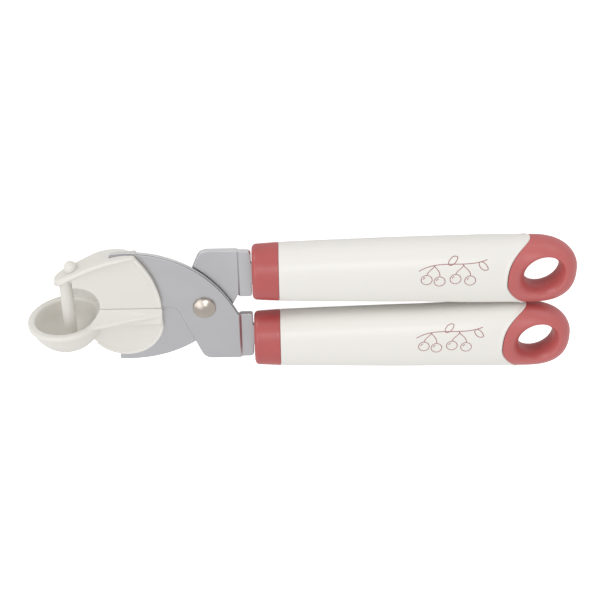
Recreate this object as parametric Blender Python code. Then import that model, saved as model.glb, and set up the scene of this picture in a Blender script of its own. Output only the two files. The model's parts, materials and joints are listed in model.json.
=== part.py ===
"""Plier-type cherry and olive pitter.

Two mirrored steel arms cross on one rivet.  The rear arm carries the upper handle and the
lower jaw with its cup.  The front arm carries the lower handle and the upper jaw with its
plunger.  Squeezing the handles drives the plunger into the cup and out of its bottom hole.

Design values are in millimetres, in a frame centred on the pivot: +X runs towards the handles,
+Y towards the upper handle and +Z towards the front arm.  The two pivot empties place that
frame in the world, in metres, with the origin under the middle of the tool.
"""

import math

import bmesh
import bpy
from mathutils import Matrix, Vector

MM = 0.001
GAP = 0.3
REACH = 12.0  # how far a cutter runs past the middle plane

# Where the pivot stands in the world: the origin is under the middle of the bounding box.
PIVOT = (-34.6, 1.0, 14.1)

# Steel arms
PLATE = 1.8
PLATE_INNER = 0.2
PLATE_OUTER = PLATE_INNER + PLATE
JOGGLE = 0.8
JOGGLE_START = 12.4
JOGGLE_END = 13.6
BLADE_END = -32.4
FRONT_BLADE_CORNER = 22.9
REAR_BLADE_CORNER = 24.0
BLADE_LOW = 0.36
TANG_TOP = -3.6
TANG_BOTTOM = -22.8
TANG_SHOULDER = 17.4
TONGUE_HALF = 4.5
TONGUE_END = 84.0
BACK_CURVE = ((-18.0, 25.0), (1.5, 19.8))
TANG_ROOT_X = 12.2
HEEL_R = 1.5
KNEE_X = 2.0
KNEE_R = 4.0
THROAT = ((-9.4, -1.6), (-10.6, 0.0), (-12.2, BLADE_LOW))

# Rivet
RIVET_SHANK_R = 2.5
RIVET_HOLE_R = RIVET_SHANK_R + GAP
RIVET_HEAD_R = 4.15
RIVET_HEAD_H = 1.7
WASHER_R = 4.8
WASHER_T = 0.8
RIVET_TAIL_R = 3.8
RIVET_TAIL_H = 1.2

# Jaws
JAW_WALL = 1.7
SLOT_CLEAR = 0.3
PARTING = 1.1
JAW_ARC_CENTRE = (-51.0, -0.3)
JAW_ARC_R = 35.8
JAW_FRONT = 3.8
ARC_TOP_ANGLE = 40.5
REAR_TOP_ANGLE = 34.5
REAR_WALL = 1.8
NOSE_WEB_X = -46.6
# Stations of the upper jaw's top flange: x, top y, rear z, front z, thickness
FLANGE_STATIONS = (
    (-25.0, 23.2, -0.4, 4.6, 0.9),
    (-28.0, 23.1, -2.4, 5.4, 1.1),
    (-32.0, 22.4, -3.8, 5.8, 1.3),
    (-37.3, 20.6, -5.2, 5.4, 1.6),
    (-43.0, 17.9, -4.9, 5.0, 1.8),
    (-47.5, 15.7, -4.6, 4.5, 2.3),
    (-50.5, 14.2, -4.2, 4.1, 2.9),
    (-52.5, 13.2, -3.0, 2.9, 3.0),
    (-53.5, 12.5, -1.5, 1.4, 2.4),
)
ARCH_CENTRE = (-45.2, 2.6)
ARCH_R = 7.7
JAW_PIN_R = 1.2
UPPER_JAW_PINS = ((-27.0, 16.5), (-21.0, 6.5))
LOWER_JAW_PINS = ((-27.0, -15.0), (-20.5, -7.5))
UPPER_PIN_SPAN = (-1.6, 2.9)
LOWER_PIN_SPAN = (-3.7, 0.7)

# Cup
CUP_CENTRE = (-50.8, -4.1)
CUP_TILT = math.radians(4.0)
CUP_RIM_R = 14.1
CUP_RIM_H = 1.9
CUP_BOWL_R = 13.3
CUP_BORE_R = 12.2
CUP_CAVITY_R = 11.7
CUP_HOLE_R = 3.6
SHELF_T = 1.5
SHELF_STATIONS = ((-43.5, 10.0), (-36.0, 8.2), (-29.0, 6.4), (-21.0, 4.8), (-15.6, 3.9))
SHOULDER_TOP = 0.6
SHOULDER_FILLET = 0.4
GUARD_HEIGHT = 4.4
GUARD_LEFT = -50.5
TONGUE_LEFT = -44.0
LOWER_WEB_CENTRE = (-29.3, -6.3)
LOWER_WEB_R = 14.0

# Plunger
POST_X = -49.55
POST_R = 2.3
POST_TIP_Y = -16.4
POST_TOP_Y = 13.2
BUTTON_CENTRE = (-47.3, 17.4)
BUTTON_R = 2.55
STEM_R = 1.3
STEM_LOW_Y = 11.0

# Handles
UPPER_HANDLE_Y = 13.8
LOWER_HANDLE_Y = -15.3
COLLAR_START = 17.8
COLLAR_END = 27.2
SHELL_START = COLLAR_END + GAP
HANDLE_HALF_T = 8.0
LOOP_HALF_T = 6.9
HANDLE_POWER = 2.3
GRIP_FLARE = ((17.0, 10.4), (27.0, 11.0), (42.0, 11.6), (68.0, 12.4), (100.0, 12.95), (118.0, 13.0))
LOOP_THIN_START = 98.0
LOOP_THIN_LENGTH = 18.0
LOOP_DROP = 0.5
END_CENTRE_X = 118.0
END_HALF_LENGTH = 16.1
END_HALF_H = 13.0
END_TOP_POWER = 2.0
END_LOW_POWER = 2.45
HOLE_CENTRE = (121.4, -0.7)
HOLE_AXES = (6.8, 5.6)
HOLE_TILT = math.radians(50.0)
HOLE_FLARE = 5.4
HOLE_FLARE_DEPTH = 7.2
SHELL_WALL = 2.4
CORE_INSET = SHELL_WALL + GAP
TONGUE_SLOT_HALF = 0.5 * PLATE + GAP
CORE_START = 20.6
CORE_END = 98.0
SPIGOT_START = CORE_END + GAP
SPIGOT_END = 111.5
SPIGOT_HALF_Y = 6.4
SPIGOT_HALF_Z = 3.2
SEAM_X = 108.6
SEAM_Y = -2.7
SEAM_RISE = (0.00183, 3.04)
SEAM_FALL = (0.109, 1.775)
RING_POINTS = 28
PIN_STATIONS = (36.0, 62.0)
TANG_PIN_R = 1.5


def clear_scene():
    for obj in list(bpy.data.objects):
        bpy.data.objects.remove(obj, do_unlink=True)


def make_material(name, colour, roughness, metallic=0.0):
    material = bpy.data.materials.new(name)
    material.use_nodes = True
    shader = material.node_tree.nodes["Principled BSDF"]
    shader.inputs["Base Color"].default_value = (*colour, 1.0)
    shader.inputs["Roughness"].default_value = roughness
    shader.inputs["Metallic"].default_value = metallic
    material.diffuse_color = (*colour, 1.0)
    return material


def make_pivot(name):
    """An empty on the rivet's axis, which carries one body of the tool."""
    empty = bpy.data.objects.new(name, None)
    empty.location = Vector(PIVOT) * MM
    bpy.context.scene.collection.objects.link(empty)
    return empty


def finish_mesh(name, bm, smooth_angle=40.0):
    """Turn a bmesh in millimetres into a linked object in metres."""
    bmesh.ops.scale(bm, vec=(MM, MM, MM), verts=bm.verts)
    bmesh.ops.recalc_face_normals(bm, faces=bm.faces)
    mesh = bpy.data.meshes.new(name)
    bm.to_mesh(mesh)
    bm.free()
    mesh.shade_smooth()
    mesh.set_sharp_from_angle(angle=math.radians(smooth_angle))
    obj = bpy.data.objects.new(name, mesh)
    bpy.context.scene.collection.objects.link(obj)
    return obj


def place(obj, pivot, material):
    """Give a sub-part its pivot and its material."""
    obj.parent = pivot
    obj.data.materials.append(material)
    return obj


def as_tool(obj, pivot):
    """Mark an object as a cutter or a guide that isn't part of the tool."""
    obj.parent = pivot
    obj.hide_render = True
    obj.display_type = "WIRE"
    return obj


def boolean(obj, operand, operation):
    modifier = obj.modifiers.new(operand.name, "BOOLEAN")
    modifier.operation = operation
    modifier.solver = "EXACT"
    modifier.object = operand
    return modifier


# ---------------------------------------------------------------- basic solids


def prism(name, outline, z_low, z_high, cuts=()):
    """Extrude a closed XY outline from z_low to z_high; cuts are X stations that split it."""
    bm = bmesh.new()
    verts = [bm.verts.new((x, y, z_low)) for x, y in outline]
    bm.faces.new(verts)
    for x in cuts:
        bmesh.ops.bisect_plane(
            bm,
            geom=bm.verts[:] + bm.edges[:] + bm.faces[:],
            plane_co=(x, 0.0, 0.0),
            plane_no=(1.0, 0.0, 0.0),
        )
    extruded = bmesh.ops.extrude_face_region(bm, geom=bm.faces[:])
    new_verts = [item for item in extruded["geom"] if isinstance(item, bmesh.types.BMVert)]
    bmesh.ops.translate(bm, verts=new_verts, vec=(0.0, 0.0, z_high - z_low))
    return finish_mesh(name, bm)


def box(name, low, high):
    outline = [(low[0], low[1]), (high[0], low[1]), (high[0], high[1]), (low[0], high[1])]
    return prism(name, outline, low[2], high[2])


def turned(name, profile, matrix=Matrix.Identity(4), segments=32):
    """Revolve a profile of (radius, height) points about the local Z axis."""
    bm = bmesh.new()
    rings = []
    for radius, height in profile:
        if radius <= 1e-6:
            rings.append([bm.verts.new((0.0, 0.0, height))])
            continue
        ring = []
        for step in range(segments):
            angle = math.tau * step / segments
            ring.append(bm.verts.new((radius * math.cos(angle), radius * math.sin(angle), height)))
        rings.append(ring)
    for lower, upper in zip(rings, rings[1:]):
        join_rings(bm, lower, upper)
    if len(rings[0]) > 1:
        bm.faces.new(rings[0])
    if len(rings[-1]) > 1:
        bm.faces.new(rings[-1])
    bmesh.ops.transform(bm, matrix=matrix, verts=bm.verts)
    return finish_mesh(name, bm)


def ring(name, profile, matrix, segments):
    """Revolve a closed profile about the local Z axis into a ring."""
    bm = bmesh.new()
    loops = []
    for step in range(segments):
        turn = Matrix.Rotation(math.tau * step / segments, 4, "Z")
        loops.append([bm.verts.new(turn @ Vector((radius, 0.0, height))) for radius, height in profile])
    for first, second in zip(loops, loops[1:] + loops[:1]):
        join_rings(bm, first, second)
    bmesh.ops.transform(bm, matrix=matrix, verts=bm.verts)
    return finish_mesh(name, bm)


def join_rings(bm, lower, upper):
    count = max(len(lower), len(upper))
    for step in range(count):
        after = (step + 1) % count
        if len(lower) == 1:
            bm.faces.new((lower[0], upper[step], upper[after]))
        elif len(upper) == 1:
            bm.faces.new((lower[step], lower[after], upper[0]))
        else:
            bm.faces.new((lower[step], lower[after], upper[after], upper[step]))


def pin(name, x, y, radius, z_low, z_high, segments=24):
    """A straight round pin or hole cutter along Z."""
    shift = Matrix.Translation((x, y, 0.0))
    return turned(name, [(radius, z_low), (radius, z_high)], shift, segments)


def along_y(x, z=0.0):
    """Matrix that stands a turned shape's axis along +Y at the given X."""
    return Matrix.Translation((x, 0.0, z)) @ Matrix.Rotation(-math.pi / 2.0, 4, "X")


def loft(name, rings):
    """Skin a row of closed rings of equal length and cap both ends."""
    bm = bmesh.new()
    built = [[bm.verts.new(point) for point in ring] for ring in rings]
    for lower, upper in zip(built, built[1:]):
        join_rings(bm, lower, upper)
    bm.faces.new(built[0])
    bm.faces.new(built[-1])
    return finish_mesh(name, bm)


def arc(centre, radius, start, end, steps):
    """Points on a circular arc, angles in degrees."""
    points = []
    for step in range(steps + 1):
        angle = math.radians(start + (end - start) * step / steps)
        points.append((centre[0] + radius * math.cos(angle), centre[1] + radius * math.sin(angle)))
    return points


def bezier(p0, p1, p2, p3, steps):
    points = []
    for step in range(steps + 1):
        t = step / steps
        s = 1.0 - t
        weights = (s ** 3, 3.0 * s * s * t, 3.0 * s * t * t, t ** 3)
        x = sum(w * p[0] for w, p in zip(weights, (p0, p1, p2, p3)))
        y = sum(w * p[1] for w, p in zip(weights, (p0, p1, p2, p3)))
        points.append((x, y))
    return points


# ---------------------------------------------------------------- steel arms


def arm_outline(corner):
    """Outline of the front arm: blade up and left of the pivot, tang down and right."""
    back = bezier((BLADE_END, corner), *BACK_CURVE, (TANG_ROOT_X, TANG_TOP), 18)
    shoulder = [(TANG_SHOULDER, TANG_TOP)]
    tongue_mid = 0.5 * (TANG_TOP + TANG_BOTTOM)
    tongue = [
        (TANG_SHOULDER, tongue_mid + TONGUE_HALF),
        (TONGUE_END, tongue_mid + TONGUE_HALF),
        (TONGUE_END, tongue_mid - TONGUE_HALF),
        (TANG_SHOULDER, tongue_mid - TONGUE_HALF),
    ]
    heel = arc((TANG_SHOULDER - HEEL_R, TANG_BOTTOM + HEEL_R), HEEL_R, 0.0, -90.0, 3)
    knee = arc((KNEE_X, TANG_BOTTOM + KNEE_R), KNEE_R, -90.0, -155.0, 4)
    front = [(BLADE_END, BLADE_LOW)]
    return back + shoulder + tongue + heel + knee + list(THROAT) + front


def make_arm(name, pivot, material, flip):
    """Cut one arm from the shared outline; flip gives the rear arm, turned over about X."""
    outline = arm_outline(REAR_BLADE_CORNER if flip else FRONT_BLADE_CORNER)
    cuts = (JOGGLE_START, JOGGLE_END)
    arm = prism(name, outline, PLATE_INNER, PLATE_OUTER, cuts)
    for vert in arm.data.vertices:
        x = vert.co.x / MM
        share = min(1.0, max(0.0, (x - JOGGLE_START) / (JOGGLE_END - JOGGLE_START)))
        vert.co.z -= JOGGLE * share * MM
    if flip:
        arm.data.transform(Matrix.Rotation(math.pi, 4, "X"))
    cut_pin_holes(arm, [(0.0, 0.0)], RIVET_HOLE_R, -REACH, REACH, pivot)
    return place(arm, pivot, material)


def cut_pin_holes(obj, stations, radius, z_low, z_high, pivot):
    for x, y in stations:
        cutter = pin(f"{obj.name}_hole_{len(obj.modifiers)}", x, y, radius, z_low, z_high)
        boolean(obj, as_tool(cutter, pivot), "DIFFERENCE")


def make_pins(name, stations, radius, z_low, z_high, pivot, material):
    """Straight pins, one sub-part each, numbered from 1."""
    for index, (x, y) in enumerate(stations):
        place(pin(f"{name}_{index + 1}", x, y, radius, z_low, z_high, 16), pivot, material)


# ---------------------------------------------------------------- rivet


def make_rivet(pivot, material):
    """Solid rivet: domed head in front, shank through both arms, peened tail behind."""
    seat = PLATE_OUTER + GAP
    tail_seat = -(PLATE_OUTER + WASHER_T + 2.0 * GAP)
    profile = [(0.0, tail_seat - RIVET_TAIL_H), (0.7 * RIVET_TAIL_R, tail_seat - RIVET_TAIL_H)]
    profile += [(RIVET_TAIL_R, tail_seat - 0.4 * RIVET_TAIL_H), (RIVET_TAIL_R, tail_seat)]
    profile += [(RIVET_SHANK_R, tail_seat), (RIVET_SHANK_R, seat)]
    profile += [(RIVET_HEAD_R, seat), (RIVET_HEAD_R, seat + 0.45 * RIVET_HEAD_H)]
    profile += [(0.86 * RIVET_HEAD_R, seat + 0.75 * RIVET_HEAD_H)]
    profile += [(0.5 * RIVET_HEAD_R, seat + 0.95 * RIVET_HEAD_H), (0.0, seat + RIVET_HEAD_H)]
    return place(turned("pivot_rivet", profile), pivot, material)


def make_washer(pivot, material):
    """Flat washer under the rivet's tail."""
    top = -(PLATE_OUTER + GAP)
    washer = pin("rivet_washer", 0.0, 0.0, WASHER_R, top - WASHER_T, top, 32)
    cut_pin_holes(washer, [(0.0, 0.0)], RIVET_HOLE_R, -REACH, REACH, pivot)
    return place(washer, pivot, material)


# ---------------------------------------------------------------- upper jaw and plunger


def make_flange(pivot):
    """Curved top flange of the upper jaw, with rounded long edges."""
    rings = []
    for x, top, rear, front, thickness in FLANGE_STATIONS:
        low = top - thickness
        mid = 0.5 * (rear + front)
        half = 0.5 * (front - rear)
        edge = 0.35 * thickness
        section = [(top, half - edge), (top - 0.3 * edge, half - 0.3 * edge), (top - edge, half)]
        section += [(low + edge, half), (low, half - edge)]
        ring = [(x, y, mid + z) for y, z in section]
        ring += [(x, y, mid - z) for y, z in reversed(section)]
        rings.append(ring)
    return as_tool(loft("upper_jaw_flange", rings), pivot)


def upper_web_outline(top_angle, drop):
    """Upright web under the flange, cut by the arch over the cup; drop lowers its top edge."""
    low_y = PARTING + 0.5 * GAP
    arc_low = math.degrees(math.asin((low_y - JAW_ARC_CENTRE[1]) / JAW_ARC_R))
    outline = arc(JAW_ARC_CENTRE, JAW_ARC_R, arc_low, top_angle, 10)
    stations = [station for station in FLANGE_STATIONS[1:5] if station[0] < outline[-1][0] - drop]
    outline += [(x, top - 0.6 * thickness - drop) for x, top, _, _, thickness in stations]
    outline += [(NOSE_WEB_X, 14.6), (NOSE_WEB_X, 9.9)]
    outline += arc(ARCH_CENTRE, ARCH_R, 100.0, 0.0, 8)
    outline += [(ARCH_CENTRE[0] + ARCH_R, low_y)]
    return outline


def make_upper_jaw(pivot, material):
    jaw = prism("upper_jaw", upper_web_outline(ARC_TOP_ANGLE, 0.0), -REAR_WALL, JAW_FRONT)
    rear_web = prism("upper_jaw_rear", upper_web_outline(REAR_TOP_ANGLE, 1.2), -JAW_FRONT, -1.0)
    boolean(jaw, as_tool(rear_web, pivot), "UNION")
    boolean(jaw, make_flange(pivot), "UNION")
    slot_low = (BLADE_END - SLOT_CLEAR, -5.0, PLATE_INNER - SLOT_CLEAR)
    slot_high = (-5.0, 30.0, PLATE_OUTER + SLOT_CLEAR)
    boolean(jaw, as_tool(box("upper_jaw_slot", slot_low, slot_high), pivot), "DIFFERENCE")
    socket_profile = [(POST_R + GAP, -5.0), (POST_R + GAP, POST_TOP_Y + GAP)]
    socket = turned("plunger_socket", socket_profile, along_y(POST_X))
    boolean(jaw, as_tool(socket, pivot), "DIFFERENCE")
    seat = ball("button_seat", (*BUTTON_CENTRE, 0.0), BUTTON_R + GAP)
    boolean(jaw, as_tool(seat, pivot), "DIFFERENCE")
    boolean(jaw, make_stem("button_stem_hole", STEM_R + GAP, STEM_LOW_Y - GAP, pivot), "DIFFERENCE")
    cut_pin_holes(jaw, UPPER_JAW_PINS, JAW_PIN_R + GAP, -4.0, PLATE_OUTER + 1.2, pivot)
    return place(jaw, pivot, material)


def ball(name, centre, radius, segments=20, rings=10):
    profile = []
    for step in range(rings + 1):
        angle = -math.pi / 2.0 + math.pi * step / rings
        profile.append((max(0.0, radius * math.cos(angle)), radius * math.sin(angle)))
    profile[0] = (0.0, -radius)
    profile[-1] = (0.0, radius)
    matrix = Matrix.Translation(centre) @ Matrix.Rotation(-math.pi / 2.0, 4, "X")
    return turned(name, profile, matrix, segments)


def make_stem(name, radius, low, pivot):
    """Short stem that joins the button to the side of the post."""
    profile = [(radius, low), (radius, BUTTON_CENTRE[1])]
    return as_tool(turned(name, profile, along_y(BUTTON_CENTRE[0]), 20), pivot)


def make_plunger(pivot, material):
    """Straight post with a hollowed tip; its round button is offset towards the arm."""
    profile = [(0.0, POST_TIP_Y + 1.2), (1.2, POST_TIP_Y + 0.4), (1.7, POST_TIP_Y)]
    profile += [(2.0, POST_TIP_Y + 0.4), (POST_R, POST_TIP_Y + 8.0)]
    profile += [(POST_R, POST_TOP_Y - 1.6), (1.2, POST_TOP_Y), (0.0, POST_TOP_Y)]
    plunger = turned("plunger", profile, along_y(POST_X), 24)
    button = ball("plunger_button", (*BUTTON_CENTRE, 0.0), BUTTON_R)
    boolean(plunger, make_stem("plunger_button_stem", STEM_R, STEM_LOW_Y, pivot), "UNION")
    boolean(plunger, as_tool(button, pivot), "UNION")
    return place(plunger, pivot, material)


# ---------------------------------------------------------------- lower jaw with cup


def cup_matrix():
    """Stands the cup's axis along +Y, leaning so that the rim drops away from the arm."""
    lean = Matrix.Rotation(CUP_TILT, 4, "Z")
    return Matrix.Translation((*CUP_CENTRE, 0.0)) @ lean @ Matrix.Rotation(-math.pi / 2.0, 4, "X")


def sphere_profile(radius, start_height, hole_radius, steps):
    """Profile points down a sphere about the rim's centre, from a height to a bottom hole."""
    start = math.asin(-start_height / radius)
    end = math.acos(hole_radius / radius)
    points = []
    for step in range(steps + 1):
        angle = start + (end - start) * step / steps
        points.append((radius * math.cos(angle), -radius * math.sin(angle)))
    return points


def make_bowl(pivot):
    profile = [(0.0, 0.0), (CUP_RIM_R, 0.0), (CUP_RIM_R, -CUP_RIM_H)]
    profile += sphere_profile(CUP_BOWL_R, -CUP_RIM_H - 0.4, 1.5, 7)
    profile += [(0.0, -CUP_BOWL_R)]
    return as_tool(turned("cup_bowl", profile, cup_matrix(), 40), pivot)


def make_cavity(pivot):
    profile = [(0.0, 9.0), (CUP_BORE_R, 9.0), (CUP_BORE_R, -1.2)]
    profile += sphere_profile(CUP_CAVITY_R, -2.2, CUP_HOLE_R, 7)
    profile += [(CUP_HOLE_R, -CUP_BOWL_R - 2.0), (0.0, -CUP_BOWL_R - 2.0)]
    return as_tool(turned("cup_cavity", profile, cup_matrix(), 40), pivot)


def shelf_top(x):
    """Height of the shelf, which continues the plane of the cup's rim."""
    return CUP_CENTRE[1] + (x - CUP_CENTRE[0]) * math.tan(CUP_TILT)


def make_shelf(pivot):
    """Flared shoulder from the parting face down to a ledge level with the cup's rim."""
    rings = []
    for x, half in SHELF_STATIONS:
        top = shelf_top(x) - 0.02
        fillet_y = top + SHOULDER_FILLET * (SHOULDER_TOP - top)
        fillet_z = JAW_FRONT + SHOULDER_FILLET * (half - JAW_FRONT)
        section = [(SHOULDER_TOP, JAW_FRONT - 0.2), (fillet_y, fillet_z)]
        section += [(top, half - 0.4), (top - 0.4, half), (top - SHELF_T, half - 0.3)]
        ring = [(x, y, z) for y, z in section]
        ring += [(x, y, -z) for y, z in reversed(section)]
        rings.append(ring)
    return as_tool(loft("lower_jaw_shelf", rings), pivot)


def make_guard(pivot):
    """Part of the cup's wall that rises behind the post and keeps the juice in."""
    profile = [(CUP_BORE_R - 1.0, -0.5), (CUP_RIM_R, -0.5), (CUP_RIM_R, GUARD_HEIGHT)]
    profile += [(CUP_BORE_R - 1.0, GUARD_HEIGHT)]
    guard = ring("cup_guard", profile, cup_matrix(), 40)
    low = (GUARD_LEFT, -10.0, -CUP_RIM_R - 1.0)
    high = (TONGUE_LEFT + 8.0, 5.0, -JAW_FRONT + 0.5)
    boolean(guard, as_tool(box("cup_guard_reach", low, high), pivot), "INTERSECT")
    return as_tool(guard, pivot)


def make_tongue(pivot):
    """Raised wall between the shelf and the parting face that the upper jaw closes on."""
    right = JAW_ARC_CENTRE[0] + JAW_ARC_R
    top = PARTING - 0.5 * GAP
    outline = [(TONGUE_LEFT, -6.0), (right - 0.6, -6.0), (right, -3.0), (right, top)]
    outline += [(TONGUE_LEFT, top)]
    return as_tool(prism("lower_jaw_tongue", outline, -JAW_FRONT, JAW_FRONT), pivot)


def make_lower_jaw(pivot, material):
    outline = arc(LOWER_WEB_CENTRE, LOWER_WEB_R, 4.0, -146.0, 18)
    outline += [(TONGUE_LEFT, -12.0), (TONGUE_LEFT, -5.0), (-15.6, -4.0)]
    front = PLATE_OUTER - GAP
    rear = -(PLATE_OUTER + SLOT_CLEAR + JAW_WALL)
    jaw = prism("lower_jaw", outline, rear + 0.1, front)
    boolean(jaw, make_tongue(pivot), "UNION")
    boolean(jaw, make_shelf(pivot), "UNION")
    boolean(jaw, make_bowl(pivot), "UNION")
    boolean(jaw, make_guard(pivot), "UNION")
    boolean(jaw, make_cavity(pivot), "DIFFERENCE")
    slot_low = (BLADE_END - SLOT_CLEAR, -30.0, -(PLATE_OUTER + SLOT_CLEAR))
    slot_high = (-5.0, 5.0, -(PLATE_INNER - SLOT_CLEAR))
    boolean(jaw, as_tool(box("lower_jaw_slot", slot_low, slot_high), pivot), "DIFFERENCE")
    relief_low = (BLADE_END - SLOT_CLEAR, BLADE_LOW - SLOT_CLEAR, -1.0)
    relief_high = (-5.0, 5.0, PLATE_OUTER + SLOT_CLEAR)
    boolean(jaw, as_tool(box("lower_jaw_relief", relief_low, relief_high), pivot), "DIFFERENCE")
    cut_pin_holes(jaw, LOWER_JAW_PINS, JAW_PIN_R + GAP, -6.0, 1.0, pivot)
    return place(jaw, pivot, material)


# ---------------------------------------------------------------- handles


def handle_half_height(x, end_power):
    """Distance from the grip's middle line to its edge: a gentle flare, then a rounded end."""
    if x > END_CENTRE_X:
        u = min(1.0, (x - END_CENTRE_X) / END_HALF_LENGTH)
        return END_HALF_H * max(0.0, 1.0 - u ** end_power) ** (1.0 / end_power)
    for (x0, h0), (x1, h1) in zip(GRIP_FLARE, GRIP_FLARE[1:]):
        if x <= x1:
            return h0 + (h1 - h0) * (x - x0) / (x1 - x0)
    return END_HALF_H


def loop_share(x):
    """Smooth share, 0 on the grip and 1 at the end loop."""
    share = min(1.0, max(0.0, (x - LOOP_THIN_START) / LOOP_THIN_LENGTH))
    return share * share * (3.0 - 2.0 * share)


def handle_half_thickness(x):
    """Half thickness of the grip: full body, thinner towards the end loop."""
    half = HANDLE_HALF_T + (LOOP_HALF_T - HANDLE_HALF_T) * loop_share(x)
    if x < COLLAR_END:
        half -= 0.05 * (COLLAR_END - x)
    if x > END_CENTRE_X:
        u = min(1.0, (x - END_CENTRE_X) / END_HALF_LENGTH)
        half *= math.sqrt(max(0.0, 1.0 - u ** 4))
    return half


def power(value, exponent):
    return math.copysign(abs(value) ** exponent, value)


def grip_ring(x, y_mid, inset=0.0, count=RING_POINTS):
    """One rounded section of the grip across X, shrunk by an inset."""
    above = handle_half_height(x, END_TOP_POWER)
    below = handle_half_height(x, END_LOW_POWER) * (1.0 + LOOP_DROP / END_HALF_H * loop_share(x))
    y_mid = y_mid + 0.5 * (above - below)
    half_h = 0.5 * (above + below) - inset
    half_t = handle_half_thickness(x) - inset
    ring = []
    for step in range(count):
        angle = math.tau * (step + 0.5) / count
        y = y_mid + half_h * power(math.cos(angle), 2.0 / HANDLE_POWER)
        z = half_t * power(math.sin(angle), 2.0 / HANDLE_POWER)
        ring.append((x, y, z))
    return ring


def grip_blank(name, y_mid, stations, inset=0.0):
    return loft(name, [grip_ring(x, y_mid, inset) for x in stations])


def seam_outline(y_mid, shift, x_far):
    """Closed outline between the slanted seam of the end loop and a far X."""
    points = []
    steps = 16
    for step in range(steps + 1):
        v = -16.0 + 32.0 * step / steps
        rise = v - SEAM_Y
        if rise > 0.0:
            x = SEAM_X + SEAM_RISE[0] * rise ** SEAM_RISE[1]
        else:
            x = SEAM_X + SEAM_FALL[0] * (-rise) ** SEAM_FALL[1]
        points.append((x + shift, y_mid + v))
    return points + [(x_far, y_mid + 16.0), (x_far, y_mid - 16.0)]


def make_core(prefix, y_mid, tang_mid, pivot, material, z_tang):
    """Stiff inner bar that grips the arm's tongue and carries the outer shell."""
    stations = (CORE_START, 42.0, 68.0, 90.0, CORE_END)
    core = grip_blank(prefix + "_handle_core", y_mid, stations, CORE_INSET)
    slot = tongue_slot(prefix + "_core_slot", CORE_START, TONGUE_END, tang_mid, z_tang, pivot)
    boolean(core, slot, "DIFFERENCE")
    stations = [(x, tang_mid) for x in PIN_STATIONS]
    cut_pin_holes(core, stations, TANG_PIN_R + GAP, -REACH, REACH, pivot)
    return place(core, pivot, material)


def tongue_slot(name, start, end, tang_mid, z_tang, pivot):
    """Cutter for the slot that takes the arm's tongue, open in front of start."""
    half_y = TONGUE_HALF + GAP
    low = (start - 5.0, tang_mid - half_y, z_tang - TONGUE_SLOT_HALF)
    high = (end + GAP, tang_mid + half_y, z_tang + TONGUE_SLOT_HALF)
    return as_tool(box(name, low, high), pivot)


def make_collar(prefix, y_mid, tang_mid, pivot, material, z_tang):
    """Soft collar closed in front around the tongue, open behind over the core."""
    front = COLLAR_START
    rings = [grip_ring(front, y_mid, 1.5), grip_ring(front + 0.35, y_mid, 0.6)]
    rings += [grip_ring(x, y_mid) for x in (front + 1.3, front + 4.0, COLLAR_END)]
    collar = loft(prefix + "_collar", rings)
    slot = tongue_slot(prefix + "_collar_slot", front, COLLAR_END + 5.0, tang_mid, z_tang, pivot)
    boolean(collar, slot, "DIFFERENCE")
    pocket_stations = (CORE_START - GAP, COLLAR_END + 5.0)
    pocket = grip_blank(prefix + "_collar_pocket", y_mid, pocket_stations, SHELL_WALL)
    boolean(collar, as_tool(pocket, pivot), "DIFFERENCE")
    return place(collar, pivot, material)


def make_shell(prefix, y_mid, pivot, material):
    """Hard cream sleeve around the core, cut behind along the slanted seam."""
    stations = (SHELL_START, 42.0, 55.0, 68.0, 84.0, 98.0, 104.0, 110.0, 116.0, 120.0)
    shell = grip_blank(prefix + "_handle_shell", y_mid, stations)
    outline = seam_outline(y_mid, -0.5 * GAP, 150.0)
    end_cut = as_tool(prism(prefix + "_shell_end", outline, -REACH, REACH), pivot)
    boolean(shell, end_cut, "DIFFERENCE")
    bore_stations = (SHELL_START - 5.0, 42.0, 68.0, 90.0, 98.0, 125.0)
    bore = grip_blank(prefix + "_shell_bore", y_mid, bore_stations, SHELL_WALL)
    boolean(shell, as_tool(bore, pivot), "DIFFERENCE")
    return place(shell, pivot, material)


def make_loop(prefix, y_mid, pivot, material):
    """Soft end loop with the oval hanging hole and a spigot inside the shell."""
    stations = [102.0, 107.0, 112.0, END_CENTRE_X]
    steps = 8
    for step in range(1, steps + 1):
        angle = 0.5 * math.pi * step / steps
        stations.append(END_CENTRE_X + END_HALF_LENGTH * math.sin(angle) * 0.9995)
    loop = grip_blank(prefix + "_hanging_loop", y_mid, stations)
    outline = seam_outline(y_mid, 0.5 * GAP, 90.0)
    start_cut = as_tool(prism(prefix + "_loop_start", outline, -REACH, REACH), pivot)
    boolean(loop, start_cut, "DIFFERENCE")
    low = (SPIGOT_START, y_mid - SPIGOT_HALF_Y, -SPIGOT_HALF_Z)
    high = (SPIGOT_END, y_mid + SPIGOT_HALF_Y, SPIGOT_HALF_Z)
    spigot = as_tool(box(prefix + "_loop_spigot", low, high), pivot)
    boolean(loop, spigot, "UNION")
    boolean(loop, make_hole_cutter(prefix, y_mid, pivot), "DIFFERENCE")
    return place(loop, pivot, material)


def make_hole_cutter(prefix, y_mid, pivot):
    """Oval hole that opens out towards both faces, so the loop is round all the way in."""
    rings = []
    steps = 8
    for step in range(steps + 1):
        angle = math.pi * (step / steps - 0.5)
        flare = HOLE_FLARE * (1.0 - math.cos(angle))
        z = HOLE_FLARE_DEPTH * math.sin(angle)
        rings.append([(x, y, z) for x, y in hole_outline(y_mid, flare)])
    rings.insert(0, [(x, y, -REACH) for x, y, _ in rings[0]])
    rings.append([(x, y, REACH) for x, y, _ in rings[-1]])
    return as_tool(loft(prefix + "_loop_hole", rings), pivot)


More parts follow.
